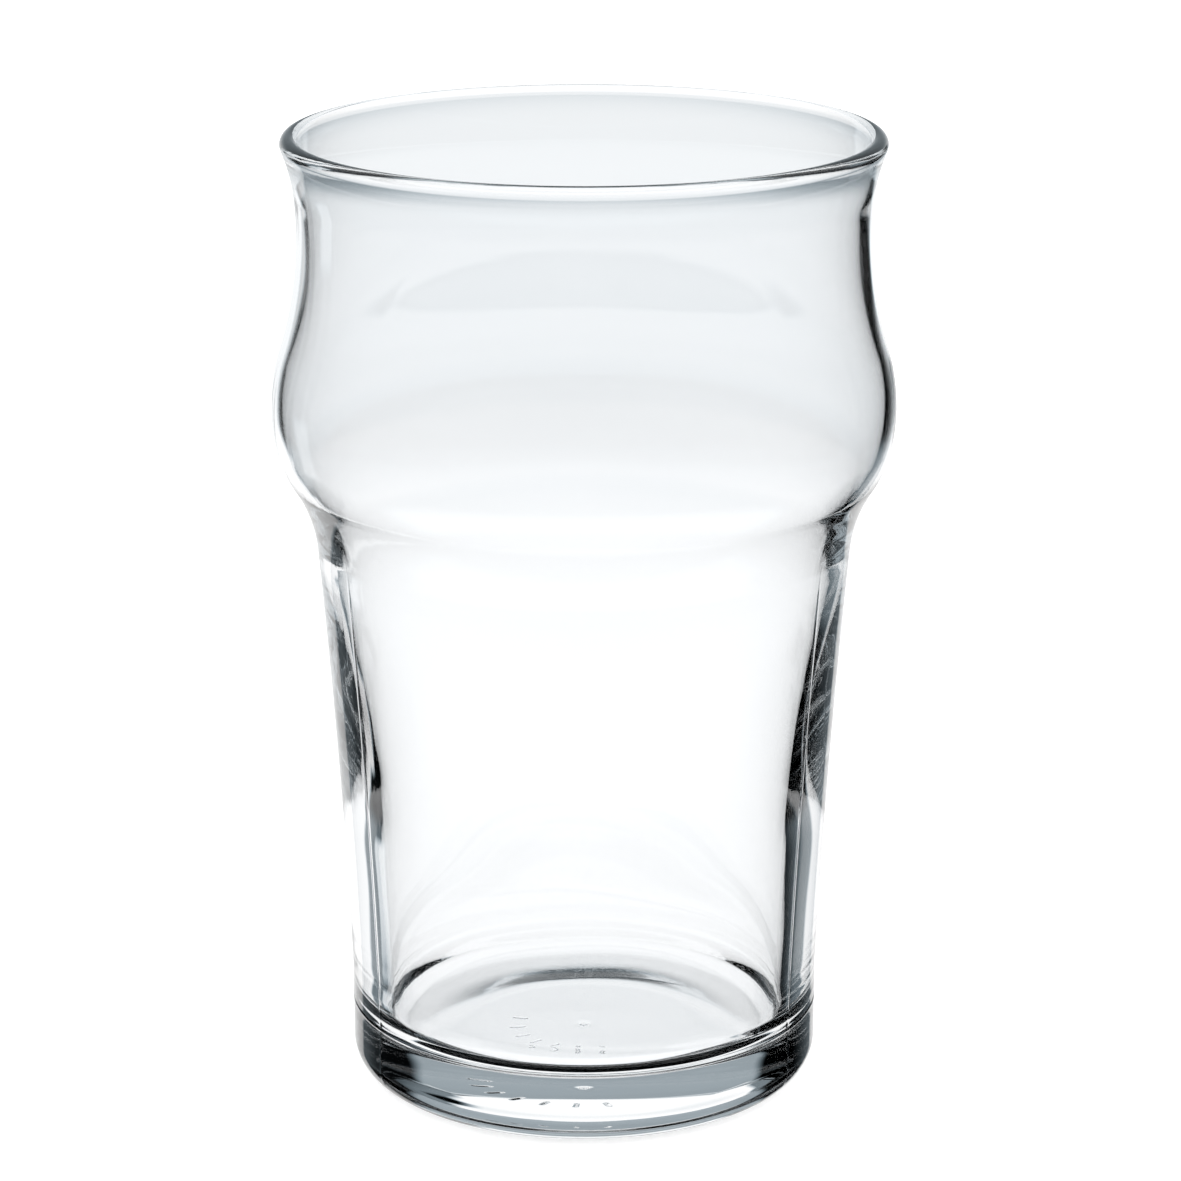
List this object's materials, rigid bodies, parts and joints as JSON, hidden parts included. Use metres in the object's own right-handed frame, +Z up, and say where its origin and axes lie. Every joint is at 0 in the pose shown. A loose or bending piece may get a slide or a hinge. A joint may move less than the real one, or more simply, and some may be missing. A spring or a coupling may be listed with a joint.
{
  "type": "pint beer glass",
  "caption": "Clear pint glass with a thick foot, a flaring wall, a shoulder step, a bulge below the neck and a rounded rim; stands on its base.",
  "frame": {"origin": "centre of the face that the glass stands on", "axes": "+Z up along the glass's axis; the glass is round, so +X and +Y are any two directions across it"},
  "size_m": [0.0944, 0.0944, 0.148],
  "materials": {
    "clear_glass": "fire-polished clear soda-lime glass"
  },
  "bodies": {
    "root": {"base": "clear_glass", "tapered_wall": "clear_glass", "shoulder": "clear_glass", "bulge": "clear_glass", "neck": "clear_glass", "rim": "clear_glass", "mould_marks": "clear_glass"}
  },
  "joints": []
}
